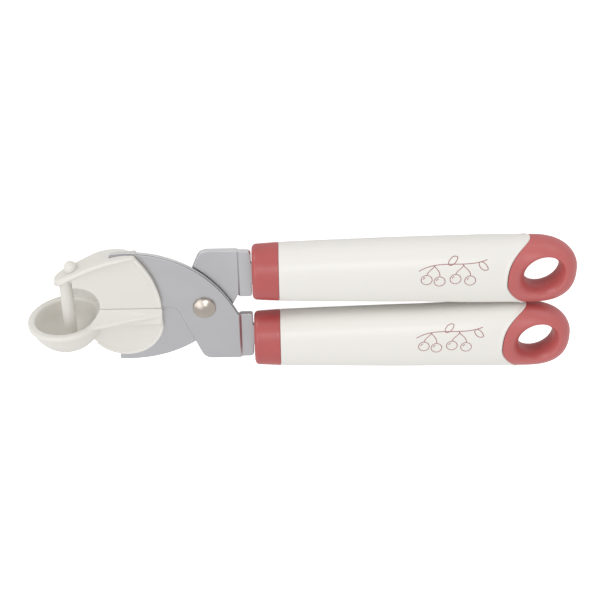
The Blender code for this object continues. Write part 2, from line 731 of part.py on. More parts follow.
def hole_outline(y_mid, flare, count=24):
    """Tilted ellipse about the hole's centre, widened by a flare."""
    points = []
    for step in range(count):
        angle = math.tau * step / count
        u = (HOLE_AXES[0] + flare) * math.cos(angle)
        v = (HOLE_AXES[1] + flare) * math.sin(angle)
        x = HOLE_CENTRE[0] + u * math.cos(HOLE_TILT) - v * math.sin(HOLE_TILT)
        y = y_mid + HOLE_CENTRE[1] + u * math.sin(HOLE_TILT) + v * math.cos(HOLE_TILT)
        points.append((x, y))
    return points


def tang_middle(side):
    """Y of a tongue's middle line; side is +1 for the upper handle, -1 for the lower."""
    return -0.5 * side * (TANG_TOP + TANG_BOTTOM)


def tang_pin_stations(side):
    return [(x, tang_middle(side)) for x in PIN_STATIONS]


def make_handle(prefix, y_mid, side, pivot, materials):
    """One handle: core, collar, shell, end loop and the pins through the tongue."""
    tang_mid = tang_middle(side)
    z_tang = -side * (PLATE_INNER + 0.5 * PLATE - JOGGLE)
    make_core(prefix, y_mid, tang_mid, pivot, materials["core"], z_tang)
    make_collar(prefix, y_mid, tang_mid, pivot, materials["soft"], z_tang)
    make_shell(prefix, y_mid, pivot, materials["shell"])
    make_loop(prefix, y_mid, pivot, materials["soft"])
    half = HANDLE_HALF_T - CORE_INSET - 0.4
    pin_args = (TANG_PIN_R, -half, half, pivot, materials["pin"])
    make_pins(prefix + "_tang_pin", tang_pin_stations(side), *pin_args)


# ---------------------------------------------------------------- assembly


def make_materials():
    return {
        "steel": make_material("satin_steel", (0.56, 0.57, 0.59), 0.35, 1.0),
        "rivet": make_material("rivet_nickel", (0.62, 0.55, 0.48), 0.3, 1.0),
        "jaw": make_material("jaw_plastic", (0.82, 0.80, 0.74), 0.45),
        "shell": make_material("cream_plastic", (0.86, 0.84, 0.78), 0.3),
        "soft": make_material("rose_rubber", (0.46, 0.10, 0.10), 0.6),
        "core": make_material("core_plastic", (0.70, 0.69, 0.66), 0.55),
        "pin": make_material("pin_steel", (0.50, 0.50, 0.52), 0.4, 1.0),
    }


def main():
    clear_scene()
    materials = make_materials()
    rear = make_pivot("rear_pivot")
    front = make_pivot("front_pivot")

    rear_arm = make_arm("rear_arm", rear, materials["steel"], flip=True)
    front_arm = make_arm("front_arm", front, materials["steel"], flip=False)
    make_rivet(rear, materials["rivet"])
    make_washer(rear, materials["rivet"])

    make_upper_jaw(front, materials["jaw"])
    make_plunger(front, materials["jaw"])
    make_lower_jaw(rear, materials["jaw"])

    cut_pin_holes(front_arm, UPPER_JAW_PINS, JAW_PIN_R + GAP, -REACH, REACH, front)
    cut_pin_holes(rear_arm, LOWER_JAW_PINS, JAW_PIN_R + GAP, -REACH, REACH, rear)
    make_pins("upper_jaw_pin", UPPER_JAW_PINS, JAW_PIN_R, *UPPER_PIN_SPAN, front, materials["pin"])
    make_pins("lower_jaw_pin", LOWER_JAW_PINS, JAW_PIN_R, *LOWER_PIN_SPAN, rear, materials["pin"])

    for arm, side, pivot in ((rear_arm, 1, rear), (front_arm, -1, front)):
        stations = tang_pin_stations(side)
        cut_pin_holes(arm, stations, TANG_PIN_R + GAP, -REACH, REACH, pivot)
    make_handle("upper", UPPER_HANDLE_Y, 1, rear, materials)
    make_handle("lower", LOWER_HANDLE_Y, -1, front, materials)


main()
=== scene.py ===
"""Looks of a plier-type cherry and olive pitter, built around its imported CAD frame.

Every piece is modelled in millimetres, in a frame centred on the rivet: +X runs towards the
handles, +Y towards the upper handle and +Z towards the front arm.  finish_piece() then moves it
into the CAD's frame, in metres.  The tool lies flat on a pale floor.
"""

import json
import math

import bmesh
import bpy
from mathutils import Matrix, Vector


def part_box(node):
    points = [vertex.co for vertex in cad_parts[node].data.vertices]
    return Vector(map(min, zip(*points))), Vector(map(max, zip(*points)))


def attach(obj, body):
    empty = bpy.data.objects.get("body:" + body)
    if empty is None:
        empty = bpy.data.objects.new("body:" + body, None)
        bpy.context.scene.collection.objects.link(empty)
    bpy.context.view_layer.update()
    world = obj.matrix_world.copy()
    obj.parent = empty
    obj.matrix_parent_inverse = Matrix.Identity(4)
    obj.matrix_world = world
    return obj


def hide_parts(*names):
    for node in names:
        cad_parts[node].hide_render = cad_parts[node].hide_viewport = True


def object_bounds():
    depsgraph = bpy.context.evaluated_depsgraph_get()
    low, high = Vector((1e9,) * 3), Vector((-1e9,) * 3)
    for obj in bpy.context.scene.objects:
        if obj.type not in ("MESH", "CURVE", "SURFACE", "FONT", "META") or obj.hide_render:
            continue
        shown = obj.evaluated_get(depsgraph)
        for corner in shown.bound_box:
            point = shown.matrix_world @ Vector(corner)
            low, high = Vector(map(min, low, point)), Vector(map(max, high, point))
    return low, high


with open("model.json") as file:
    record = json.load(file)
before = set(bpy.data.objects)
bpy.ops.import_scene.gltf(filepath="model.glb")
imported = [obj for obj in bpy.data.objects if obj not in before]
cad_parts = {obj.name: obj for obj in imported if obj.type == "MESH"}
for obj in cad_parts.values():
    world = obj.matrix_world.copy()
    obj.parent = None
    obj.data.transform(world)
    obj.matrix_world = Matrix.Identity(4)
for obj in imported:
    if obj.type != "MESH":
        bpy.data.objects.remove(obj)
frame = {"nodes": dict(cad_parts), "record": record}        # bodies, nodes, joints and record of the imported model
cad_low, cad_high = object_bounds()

MM = 0.001
PIVOT = Vector(frame["record"]["behaviour"]["joints"][0]["pos_m"])
TO_WORLD = Matrix.Translation(PIVOT) @ Matrix.Scale(MM, 4)
REAR = "rear_half"
FRONT = "front_half"
REACH = 14.0  # how far a cutter runs past the middle plane


def local_box(node):
    """A CAD node's lowest and highest corner, in millimetres from the pivot."""
    low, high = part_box(node)
    return (low - PIVOT) / MM, (high - PIVOT) / MM


# Steel arms
ARM_LOW, ARM_HIGH = local_box("front_arm")
PLATE = 1.8
PLATE_OUTER = ARM_HIGH.z
PLATE_INNER = PLATE_OUTER - PLATE
JOGGLE = PLATE_INNER - ARM_LOW.z
JOGGLE_START = 12.2
JOGGLE_END = 13.4
JOGGLE_CUTS = 6
BLADE_END = ARM_LOW.x
FRONT_BLADE_CORNER = 22.9
REAR_BLADE_CORNER = 24.0
BLADE_LOW = 0.36
BACK_CURVE = ((-18.0, 25.0), (1.5, 19.8))
TANG_ROOT_X = 12.2
TANG_TOP = -3.6
TANG_BOTTOM = ARM_LOW.y
TANG_SHOULDER = 17.4
TANG_SHOULDER_R = 0.8
TONGUE_HALF = 4.5
TONGUE_END = ARM_HIGH.x
HEEL_R = 1.5
KNEE_X = 2.0
KNEE_R = 4.0
THROAT = ((-9.4, -1.6), (-10.6, 0.0), (-11.2, BLADE_LOW), (-12.2, BLADE_LOW))
EDGE_ROUND = 0.22
FLAT_MARGIN = 0.3
# Share of Z in a face's normal: above the first it is flat, below the others a corner or a side
FLAT_SHARE = 0.99
CORNER_SHARE = 0.9
SIDE_SHARE = 0.2

# Rivet
RIVET_LOW, RIVET_HIGH = local_box("pivot_rivet")
WASHER_LOW, WASHER_HIGH = local_box("rivet_washer")
RIVET_HEAD_R = RIVET_HIGH.x
SHANK_R = 2.5
TAIL_R = 3.8
SEAT_GAP = 0.05
HEAD_ROUND_R = 0.55
DOME_R = 0.86 * RIVET_HEAD_R * 0.985
DOME_STEPS = 12

# Upper jaw
UPPER_HIGH = local_box("upper_jaw")[1]
JAW_FRONT = 3.8
REAR_WALL = 1.8
SLOT_CLEAR = 0.15
# Room around the front blade, whose corner the rounded relief must not reach
RELIEF_CLEAR = 0.45
PARTING = 1.1
PARTING_GAP = 0.12
JAW_ARC_CENTRE = (-51.0, -0.3)
JAW_ARC_R = UPPER_HIGH.x - JAW_ARC_CENTRE[0]
ARC_TOP_ANGLE = 40.5
REAR_TOP_ANGLE = 33.0
REAR_WEB_DROP = 1.2
NOSE_WEB_X = -46.6
ARCH_CENTRE = (-45.2, 2.6)
ARCH_R = 7.7
# Stations of the top flange: x, top y, rear z, front z, thickness
FLANGE_STATIONS = (
    (-23.7, 22.95, 0.6, 4.3, 0.9),
    (-25.2, 23.2, -0.6, 4.7, 0.9),
    (-28.0, 23.1, -2.4, 5.4, 1.1),
    (-32.0, 22.4, -3.8, 5.8, 1.3),
    (-37.3, 20.6, -5.2, 5.4, 1.6),
    (-43.0, 17.9, -4.9, 5.0, 1.8),
    (-47.5, 15.7, -4.6, 4.5, 2.3),
    (-50.5, 14.2, -4.2, 4.1, 2.9),
    (-52.5, 13.2, -3.0, 2.9, 3.0),
    (-53.5, 12.5, -1.5, 1.4, 2.4),
)
LIP_R = 0.7
JAW_VOXEL = 0.25
UPPER_JAW_ROUNDS = 4
LOWER_JAW_ROUNDS = 7

# Plunger
POST_X = -49.55
POST_R = 2.3
POST_TIP_Y = local_box("plunger")[0].y
POST_TOP_Y = 13.2
BUTTON_R = 2.35
BUTTON_CENTRE = (-47.1, 17.15)
STEM_R = 1.5
STEM_LOW_Y = 11.0
BUTTON_STEPS = 24
PLUNGER_VOXEL = 0.2
PLUNGER_ROUNDS = 2

# Lower jaw
CUP_CENTRE = (-50.8, -4.1)
CUP_TILT = math.radians(4.0)
CUP_RIM_R = local_box("lower_jaw")[1].z
CUP_RIM_H = 1.9
CUP_BOWL_R = 13.3
CUP_BORE_R = 11.2
CUP_CAVITY_R = 11.2
# Mouth of the cup above its rim, which scoops into the wall: radius, height
CUP_MOUTH = (
    (15.6, 7.0),
    (14.5, 5.0),
    (13.4, 3.0),
    (12.6, 1.4),
    (12.05, 0.2),
    (11.5, -0.3),
    (11.25, -0.8),
)
CUP_CUT_TOP = 9.0
CUP_BORE_LOW = -1.3
CUP_CAVITY_TOP = -2.0
CUP_ROUND = 0.45
GUARD_INNER_R = 13.1
CUP_HOLE_R = 3.6
GUARD_HEIGHT = 3.6
GUARD_LEFT = -51.5
GUARD_RIGHT = -39.5
SHELF_T = 1.5
SHELF_STATIONS = ((-43.5, 10.0), (-36.0, 8.2), (-29.0, 6.4), (-21.0, 4.8), (-15.4, 3.9))
SHOULDER_TOP = 0.7
SHOULDER_FILLET = 0.4
LOWER_WEB_CENTRE = (-29.3, -6.3)
LOWER_WEB_R = 14.0
LOWER_WEB_FRONT = 1.7
TONGUE_LEFT = -44.0

# Handles
HANDLE_POWER = 2.3
HANDLE_HALF_T = local_box("upper_handle_shell")[1].z
LOOP_HALF_T = 6.9
COLLAR_START = local_box("upper_collar")[0].x
COLLAR_END = local_box("upper_collar")[1].x
SHELL_START = local_box("upper_handle_shell")[0].x
GRIP_FLARE = ((17.0, 10.4), (27.0, 11.0), (42.0, 11.6), (68.0, 12.4), (100.0, 12.95), (118.0, 13.0))
LOOP_THIN_START = 98.0
LOOP_THIN_LENGTH = 18.0
LOOP_DROP = 0.5
# The grips' inner flanks are fuller towards their ends, where the closed handles nearly meet
INNER_SWELL = 0.45
SWELL_START = 78.0
SWELL_LENGTH = 18.0
END_CENTRE_X = 118.0
END_HALF_LENGTH = local_box("upper_hanging_loop")[1].x - END_CENTRE_X
END_HALF_H = 13.0
END_TOP_POWER = 2.0
END_LOW_POWER = 2.45
WALL = 2.4
# Rounded edge of a sleeve: distance from its end, offset from the grip's surface
SLEEVE_EDGE = ((0.0, -WALL), (0.0, -0.3), (0.02, -0.1), (0.07, -0.03), (0.15, 0.0))
# Raised lip beside the seam: distance in front of the seam, offset from the grip's surface
SEAM_LIP = (
    (2.1, 0.0),
    (1.7, 0.0),
    (1.4, 0.03),
    (1.2, 0.13),
    (1.05, 0.2),
    (0.9, 0.26),
    (0.7, 0.29),
    (0.45, 0.26),
    (0.22, 0.13),
    (0.06, -0.08),
    (0.0, -0.4),
    (0.0, -WALL),
)
HOLE_CENTRE = (121.4, -0.7)
HOLE_AXES = (6.8, 5.6)
HOLE_TILT = math.radians(50.0)
HOLE_FLARE = 5.4
HOLE_FLARE_DEPTH = 7.2
SEAM_X = 108.6
SEAM_Y = -2.7
SEAM_RISE = (0.00183, 3.04)
SEAM_FALL = (0.109, 1.775)
SEAM_GAP = 0.1
SPIGOT_START = 98.3
SPIGOT_END = 111.5
SPIGOT_HALF_Y = 6.4
SPIGOT_HALF_Z = 3.2
SEAM_HALF_SPAN = 16.0
LOOP_STATIONS = (102.0, 105.0, 108.0, 111.0, 114.5, END_CENTRE_X)
LOOP_VOXEL = 0.3
LOOP_ROUNDS = 14
RING_POINTS = 112

# Cherry sprig printed on each grip, in millimetres about its own centre
SPRIG_X = 88.8
SPRIG_Y = 3.4
INK_R = 0.17

# The floor is shown lit, as a studio sweep is, without lighting the tool from below
FLOOR_GLOW = 0.85
FLOOR_SIZE = 3.0
FLOOR_DROP = 0.0001
WORLD_STRENGTH = 0.75
# Name, direction from the tool, distance and diameter in metres, power in watts
SOFTBOXES = (
    ("key_softbox", (-0.5, -0.05, 0.85), 2.0, 1.3, 5.4),
    ("top_softbox", (0.05, 0.12, 1.0), 1.4, 0.42, 1.7),
    ("fill_softbox", (0.5, 0.75, 0.5), 2.0, 1.3, 2.6),
    ("left_softbox", (-0.7, 0.8, 0.35), 2.0, 1.0, 5.2),
)

# Camera: tilt from straight above towards the upper handle's side, and target from the pivot
CAMERA_TILT = math.radians(34.5)
CAMERA_ROLL = math.radians(-1.0)
CAMERA_DISTANCE = 0.530
CAMERA_TARGET = (34.72, 1.18, 0.0)
CAMERA_LENS = 87.6


# ---------------------------------------------------------------- mesh tools


def as_object(name, bm):
    bmesh.ops.recalc_face_normals(bm, faces=bm.faces)
    mesh = bpy.data.meshes.new(name)
    bm.to_mesh(mesh)
    bm.free()
    obj = bpy.data.objects.new(name, mesh)
    bpy.context.scene.collection.objects.link(obj)
    return obj


def bake_modifiers(obj):
    """Replace an object's mesh by what its modifiers make of it."""
    depsgraph = bpy.context.evaluated_depsgraph_get()
    mesh = bpy.data.meshes.new_from_object(obj.evaluated_get(depsgraph), depsgraph=depsgraph)
    obj.modifiers.clear()
    obj.data = mesh


def combine(obj, other, operation):
    """Boolean of two solids; the second one is used up."""
    modifier = obj.modifiers.new(operation, "BOOLEAN")
    modifier.operation = operation
    modifier.solver = "EXACT"
    modifier.object = other
    bake_modifiers(obj)
    bpy.data.objects.remove(other)
    return obj


def mould(obj, voxel, rounds):
    """Remesh a solid evenly and relax it, which rounds its edges like a moulding's."""
    remesh = obj.modifiers.new("remesh", "REMESH")
    remesh.mode = "VOXEL"
    remesh.voxel_size = voxel
    relax = obj.modifiers.new("relax", "SMOOTH")
    relax.factor = 0.5
    relax.iterations = rounds
    bake_modifiers(obj)
    obj.data.shade_smooth()
    return obj


def finish_piece(obj, body, materials, nodes=(), sharp_angle=None):
    """Move a piece into the CAD's frame and hang it on its body."""
    if sharp_angle is not None:
        obj.data.shade_smooth()
        obj.data.set_sharp_from_angle(angle=math.radians(sharp_angle))
    obj.data.transform(TO_WORLD)
    obj.data.materials.clear()
    for material in materials:
        obj.data.materials.append(material)
    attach(obj, body)
    if nodes:
        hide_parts(*nodes)
    return obj


def join_rings(bm, lower, upper):
    count = max(len(lower), len(upper))
    for step in range(count):
        after = (step + 1) % count
        if len(lower) == 1:
            bm.faces.new((lower[0], upper[step], upper[after]))
        elif len(upper) == 1:
            bm.faces.new((lower[step], lower[after], upper[0]))
        else:
            bm.faces.new((lower[step], lower[after], upper[after], upper[step]))


def loft(name, rings, closed=False):
    """Skin a row of rings; a closed row joins its last ring to its first."""
    bm = bmesh.new()
    built = [[bm.verts.new(point) for point in ring] for ring in rings]
    for lower, upper in zip(built, built[1:]):
        join_rings(bm, lower, upper)
    if closed:
        join_rings(bm, built[-1], built[0])
    else:
        bm.faces.new(built[0])
        bm.faces.new(built[-1])
    return as_object(name, bm)


def prism(name, outline, z_low, z_high):
    return loft(name, [[(x, y, z_low) for x, y in outline], [(x, y, z_high) for x, y in outline]])


def box(name, low, high):
    outline = [(low[0], low[1]), (high[0], low[1]), (high[0], high[1]), (low[0], high[1])]
    return prism(name, outline, low[2], high[2])


def circle_ring(radius, height, segments):
    if radius < 1e-6:
        return [(0.0, 0.0, height)]
    ring = []
    for step in range(segments):
        angle = math.tau * step / segments
        ring.append((radius * math.cos(angle), radius * math.sin(angle), height))
    return ring


def turned(name, profile, matrix=Matrix.Identity(4), segments=96):
    """Revolve (radius, height) points about the local Z axis; both ends lie on the axis."""
    bm = bmesh.new()
    rings = [[bm.verts.new(p) for p in circle_ring(r, h, segments)] for r, h in profile]
    for lower, upper in zip(rings, rings[1:]):
        join_rings(bm, lower, upper)
    for end in (rings[0], rings[-1]):
        if len(end) > 1:
            bm.faces.new(end)
    bmesh.ops.transform(bm, matrix=matrix, verts=bm.verts)
    return as_object(name, bm)


def turned_ring(name, profile, matrix=Matrix.Identity(4), segments=96):
    """Revolve a closed (radius, height) profile into a ring."""
    rings = []
    for step in range(segments):
        turn = matrix @ Matrix.Rotation(math.tau * step / segments, 4, "Z")
        rings.append([turn @ Vector((radius, 0.0, height)) for radius, height in profile])
    return loft(name, rings, closed=True)


def tube(name, path, radius, sides=12):
    """Round bar along a path that runs roughly across Z."""
    rings = []
    for index, point in enumerate(path):
        before = Vector(path[max(0, index - 1)])
        after = Vector(path[min(len(path) - 1, index + 1)])
        along = (after - before).normalized()
        side = along.cross(Vector((0.0, 0.0, 1.0))).normalized()
        up = side.cross(along)
        ring = []
        for step in range(sides):
            angle = math.tau * step / sides
            ring.append(Vector(point) + radius * (math.cos(angle) * side + math.sin(angle) * up))
        rings.append(ring)
    return loft(name, rings)


def along_y(x):
    """Matrix that stands a turned shape's axis along +Y at the given X."""
    return Matrix.Translation((x, 0.0, 0.0)) @ Matrix.Rotation(-math.pi / 2.0, 4, "X")


def arc(centre, radius, start, end, steps):
    """Points on a circular arc, angles in degrees."""
    points = []
    for step in range(steps + 1):
        angle = math.radians(start + (end - start) * step / steps)
        points.append((centre[0] + radius * math.cos(angle), centre[1] + radius * math.sin(angle)))
    return points


def bezier(p0, p1, p2, p3, steps):
    points = []
    for step in range(steps + 1):
        t = step / steps
        s = 1.0 - t
        weights = (s ** 3, 3.0 * s * s * t, 3.0 * s * t * t, t ** 3)
        corners = (p0, p1, p2, p3)
        points.append(tuple(sum(w * p[i] for w, p in zip(weights, corners)) for i in range(2)))
    return points


def smooth_rows(rows, per_span):
    """Catmull-Rom spline through rows of numbers."""
    points = [rows[0]] + list(rows) + [rows[-1]]
    result = []
    for a, b, c, d in zip(points, points[1:], points[2:], points[3:]):
        for step in range(per_span):
            t = step / per_span
            row = []
            for p, q, r, s in zip(a, b, c, d):
                bend = (2.0 * p - 5.0 * q + 4.0 * r - s) * t * t
                cubic = (3.0 * q - p - 3.0 * r + s) * t ** 3
                row.append(0.5 * (2.0 * q + (r - p) * t + bend + cubic))
            result.append(tuple(row))
    result.append(rows[-1])
    return result


def rounded_section(y_low, y_high, z_low, z_high, radius, steps=5):
    """Rectangle in Y and Z with rounded corners."""
    radius = min(radius, 0.49 * (y_high - y_low), 0.49 * (z_high - z_low))
    corners = (
        (y_high - radius, z_high - radius, 0.0),
        (y_low + radius, z_high - radius, 90.0),
        (y_low + radius, z_low + radius, 180.0),
        (y_high - radius, z_low + radius, 270.0),
    )
    section = []
    for y, z, start in corners:
        section += arc((y, z), radius, start, start + 90.0, steps)
    return section


# ---------------------------------------------------------------- materials


def new_material(name):
    material = bpy.data.materials.new(name)
    material.use_nodes = True
    return material, material.node_tree.nodes["Principled BSDF"]


def noise_of(material, scale, stretch=(1.0, 1.0, 1.0), detail=3.0):
    """Noise in the piece's own space; scale is in features per metre."""
    nodes = material.node_tree.nodes
    links = material.node_tree.links
    coords = nodes.new("ShaderNodeTexCoord")
    mapping = nodes.new("ShaderNodeMapping")
    mapping.inputs["Scale"].default_value = [scale * share for share in stretch]
    noise = nodes.new("ShaderNodeTexNoise")
    noise.inputs["Scale"].default_value = 1.0
    noise.inputs["Detail"].default_value = detail
    links.new(coords.outputs["Object"], mapping.inputs["Vector"])
    links.new(mapping.outputs["Vector"], noise.inputs["Vector"])
    return noise.outputs["Fac"]


def tint(material, shader, base, other, scale, stretch=(1.0, 1.0, 1.0)):
    """Vary the base colour softly between two close tones."""
    nodes = material.node_tree.nodes
    links = material.node_tree.links
    ramp = nodes.new("ShaderNodeValToRGB")
    ramp.color_ramp.elements[0].position = 0.35
    ramp.color_ramp.elements[0].color = (*other, 1.0)
    ramp.color_ramp.elements[1].position = 0.65
    ramp.color_ramp.elements[1].color = (*base, 1.0)
    links.new(noise_of(material, scale, stretch), ramp.inputs["Fac"])
    links.new(ramp.outputs["Color"], shader.inputs["Base Color"])


def vary_roughness(material, shader, low, high, scale, stretch=(1.0, 1.0, 1.0)):
    nodes = material.node_tree.nodes
    links = material.node_tree.links
    span = nodes.new("ShaderNodeMapRange")
    span.inputs["From Min"].default_value = 0.3
    span.inputs["From Max"].default_value = 0.7
    span.inputs["To Min"].default_value = low
    span.inputs["To Max"].default_value = high
    links.new(noise_of(material, scale, stretch), span.inputs["Value"])
    links.new(span.outputs["Result"], shader.inputs["Roughness"])


def grain(material, shader, scale, depth, stretch=(1.0, 1.0, 1.0), detail=4.0):
    """Fine surface relief; depth is in metres."""
    nodes = material.node_tree.nodes
    links = material.node_tree.links
    bump = nodes.new("ShaderNodeBump")
    bump.inputs["Strength"].default_value = 1.0
    bump.inputs["Distance"].default_value = depth
    links.new(noise_of(material, scale, stretch, detail), bump.inputs["Height"])
    links.new(bump.outputs["Normal"], shader.inputs["Normal"])


def make_steel(name, base, other, low, high):
    """Rolled and tumbled stainless steel, its grain along the arm."""
    material, shader = new_material(name)
    shader.inputs["Metallic"].default_value = 1.0
    tint(material, shader, base, other, 110.0, (0.5, 1.0, 1.0))
    vary_roughness(material, shader, low, high, 900.0, (0.3, 1.0, 1.0))
    grain(material, shader, 2600.0, 0.0000015, (0.1, 1.0, 1.0))
    return material


def make_plastic(name, base, other, low, high, coat, glow):
    """Moulded plastic with a faint flow pattern and a fine spark-eroded texture."""
    material, shader = new_material(name)
    shader.inputs["Coat Weight"].default_value = coat
    shader.inputs["Coat Roughness"].default_value = 0.25
    shader.inputs["Specular IOR Level"].default_value = 0.45
    shader.inputs["Subsurface Weight"].default_value = glow
    shader.inputs["Subsurface Radius"].default_value = (1.0, 0.97, 0.93)
    shader.inputs["Subsurface Scale"].default_value = 0.002
    tint(material, shader, base, other, 45.0, (0.5, 1.0, 1.0))
    vary_roughness(material, shader, low, high, 420.0)
    grain(material, shader, 500.0, 0.000001, detail=2.0)
    return material


def make_rubber(name, base, other):
    """Soft-touch overmould: matte, with a pale sheen at grazing angles and fine pores."""
    material, shader = new_material(name)
    shader.inputs["Sheen Weight"].default_value = 0.1
    shader.inputs["Sheen Roughness"].default_value = 0.3
    shader.inputs["Sheen Tint"].default_value = (1.0, 0.78, 0.76, 1.0)
    shader.inputs["Specular IOR Level"].default_value = 0.75
    tint(material, shader, base, other, 130.0)
    vary_roughness(material, shader, 0.30, 0.36, 900.0)
    grain(material, shader, 3200.0, 0.000012)
    return material


def make_ink(name, base, other):
    """Pad-printed ink, a little uneven in cover."""
    material, shader = new_material(name)
    tint(material, shader, base, other, 1500.0)
    vary_roughness(material, shader, 0.4, 0.55, 1800.0)
    grain(material, shader, 4000.0, 0.000004)
    return material


def make_floor_material():
    material, shader = new_material("pale_floor")
    shader.inputs["Specular IOR Level"].default_value = 0.1
    shader.inputs["Emission Color"].default_value = (FLOOR_GLOW, FLOOR_GLOW, FLOOR_GLOW, 1.0)
    seen = material.node_tree.nodes.new("ShaderNodeLightPath")
    links = material.node_tree.links
    links.new(seen.outputs["Is Camera Ray"], shader.inputs["Emission Strength"])
    tint(material, shader, (0.80, 0.80, 0.80), (0.79, 0.79, 0.79), 6.0)
    vary_roughness(material, shader, 0.85, 0.95, 40.0)
    return material


STEEL = make_steel("satin_steel", (0.60, 0.60, 0.615), (0.585, 0.585, 0.60), 0.34, 0.39)
# Pale steel for the plates' side faces: a painted highlight, the floor's reflection painted into the colour
PAINTED_EDGE_HIGHLIGHT = make_steel("edge_painted_highlight", (0.86, 0.86, 0.86), (0.78, 0.78, 0.79), 0.30, 0.42)
# Dark steel for the front arm's rounded corners: painted shade, a dark line drawn along the edge
PAINTED_CORNER_SHADE = make_steel("corner_painted_shade", (0.20, 0.20, 0.21), (0.16, 0.16, 0.17), 0.35, 0.5)
NICKEL = make_steel("warm_nickel", (0.58, 0.52, 0.46), (0.50, 0.45, 0.40), 0.22, 0.32)
PIN_STEEL = make_steel("pin_steel", (0.46, 0.46, 0.48), (0.40, 0.40, 0.42), 0.3, 0.45)
JAW_TONES = ((0.79, 0.77, 0.725), (0.77, 0.75, 0.70))
CREAM_TONES = ((0.85, 0.83, 0.79), (0.84, 0.82, 0.775))
CORE_TONES = ((0.60, 0.59, 0.56), (0.56, 0.55, 0.52))
JAW_PLASTIC = make_plastic("jaw_plastic", *JAW_TONES, 0.38, 0.5, 0.05, 0.4)
CREAM = make_plastic("cream_plastic", *CREAM_TONES, 0.31, 0.34, 0.12, 0.0)
CORE_PLASTIC = make_plastic("core_plastic", *CORE_TONES, 0.45, 0.6, 0.0, 0.0)
# One rose rubber in two copies: the loops' copy is lighter, painted light, and the collars' copy darker, painted
# shade
ROSE = make_rubber("rose_rubber", (0.54, 0.118, 0.115), (0.52, 0.11, 0.107))
ROSE_SHADED_COPY = make_rubber("rose_rubber_shaded_copy", (0.48, 0.088, 0.085), (0.46, 0.08, 0.078))
INK = make_ink("rose_ink", (0.36, 0.15, 0.165), (0.41, 0.19, 0.20))
DEEP_INK = make_ink("deep_red_ink", (0.33, 0.02, 0.035), (0.37, 0.04, 0.05))


# ---------------------------------------------------------------- steel arms


def arm_outline(corner):
    """Outline of the front arm: blade up and left of the pivot, tang down and right."""
    back = bezier((BLADE_END, corner), *BACK_CURVE, (TANG_ROOT_X, TANG_TOP), 64)
    tongue_mid = 0.5 * (TANG_TOP + TANG_BOTTOM)
    corner_centre = (TANG_SHOULDER - TANG_SHOULDER_R, TANG_TOP - TANG_SHOULDER_R)
    shoulder = arc(corner_centre, TANG_SHOULDER_R, 90.0, 0.0, 5)
    tongue = [
        (TANG_SHOULDER, tongue_mid + TONGUE_HALF),
        (TONGUE_END, tongue_mid + TONGUE_HALF),
        (TONGUE_END, tongue_mid - TONGUE_HALF),
        (TANG_SHOULDER, tongue_mid - TONGUE_HALF),
    ]
    heel = arc((TANG_SHOULDER - HEEL_R, TANG_BOTTOM + HEEL_R), HEEL_R, 0.0, -90.0, 8)
    knee = arc((KNEE_X, TANG_BOTTOM + KNEE_R), KNEE_R, -90.0, -155.0, 10)
    throat = bezier(*THROAT, 8)
    return back + shoulder + tongue + heel + knee + throat + [(BLADE_END, BLADE_LOW)]


def joggle_shift(x):
    """How far the tang steps towards the middle plane at a given X."""
    share = min(1.0, max(0.0, (x - JOGGLE_START) / (JOGGLE_END - JOGGLE_START)))
    return JOGGLE * share * share * (3.0 - 2.0 * share)


def make_arm(name, flip):
    """Stamped plate with rounded edges and a joggled tang; flip turns it over about X."""
    outline = arm_outline(REAR_BLADE_CORNER if flip else FRONT_BLADE_CORNER)
    plate = prism(name, outline, PLATE_INNER, PLATE_OUTER)
    bm = bmesh.new()
    bm.from_mesh(plate.data)
    rims = [edge for edge in bm.edges if abs(edge.verts[0].co.z - edge.verts[1].co.z) < 0.1]
    bmesh.ops.bevel(bm, geom=rims, offset=EDGE_ROUND, segments=3, profile=0.5, affect="EDGES")
    bm.normal_update()
    for side in (1.0, -1.0):
        flats = [face for face in bm.faces if side * face.normal.z > FLAT_SHARE]
        bmesh.ops.inset_region(bm, faces=flats, thickness=FLAT_MARGIN, use_even_offset=True)
    for step in range(JOGGLE_CUTS + 1):
        x = JOGGLE_START + (JOGGLE_END - JOGGLE_START) * step / JOGGLE_CUTS
        everything = bm.verts[:] + bm.edges[:] + bm.faces[:]
        bmesh.ops.bisect_plane(bm, geom=everything, plane_co=(x, 0, 0), plane_no=(1, 0, 0))
    bm.normal_update()
    # Side faces take the second material, a painted highlight; rounded corners the third, painted shade on the
    # front arm
    for face in bm.faces:
        slant = abs(face.normal.z)
        face.material_index = 1 if slant < SIDE_SHARE else 2 if slant < CORNER_SHARE else 0
    for vert in bm.verts:
        vert.co.z -= joggle_shift(vert.co.x)
    bm.to_mesh(plate.data)
    bm.free()
    if flip:
        plate.data.transform(Matrix.Rotation(math.pi, 4, "X"))
    bore_r = SHANK_R + SEAT_GAP
    bore = turned("bore", [(bore_r, -REACH), (bore_r, REACH)])
    return combine(plate, bore, "DIFFERENCE")


def make_arms():
    # The front arm's rounded corners take the painted shade steel; the rear arm's stay plain steel
    for name, flip, body, node, corner in (
        ("front_arm_plate", False, FRONT, "front_arm", PAINTED_CORNER_SHADE),
        ("rear_arm_plate", True, REAR, "rear_arm", STEEL),
    ):
        plate = make_arm(name, flip)
        kept = [polygon.material_index for polygon in plate.data.polygons]
        finish_piece(plate, body, (STEEL, PAINTED_EDGE_HIGHLIGHT, corner), (node,), 35.0)
        for polygon, index in zip(plate.data.polygons, kept):
            polygon.material_index = min(index, 2)


# ---------------------------------------------------------------- rivet


